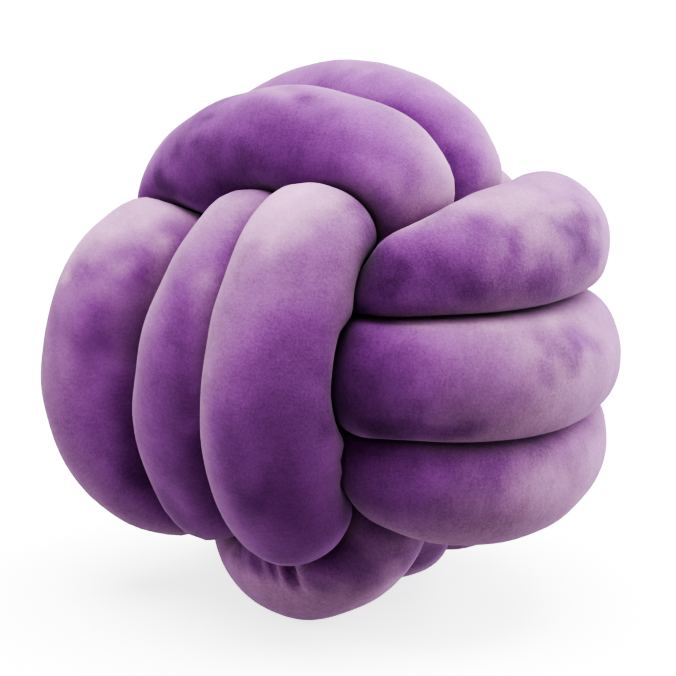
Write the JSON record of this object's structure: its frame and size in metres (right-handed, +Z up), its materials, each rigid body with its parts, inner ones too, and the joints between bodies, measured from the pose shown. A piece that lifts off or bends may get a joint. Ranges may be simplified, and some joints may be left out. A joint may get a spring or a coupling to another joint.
{
  "type": "knot cushion",
  "caption": "Ball-shaped cushion tied from one long plush tube, in side-by-side passes that dive under one another.",
  "frame": {"origin": "centre of the bounding box in plan, at the flat spot that the ball rests on", "axes": "+Z up; +X to the right and -Y towards the front, where the upright passes are on the left and the level ones on the right"},
  "size_m": [0.2866, 0.2686, 0.2678],
  "materials": {
    "purple_plush": "short-pile velvet plush"
  },
  "bodies": {
    "root": {"knot_tube": "purple_plush"}
  },
  "joints": []
}
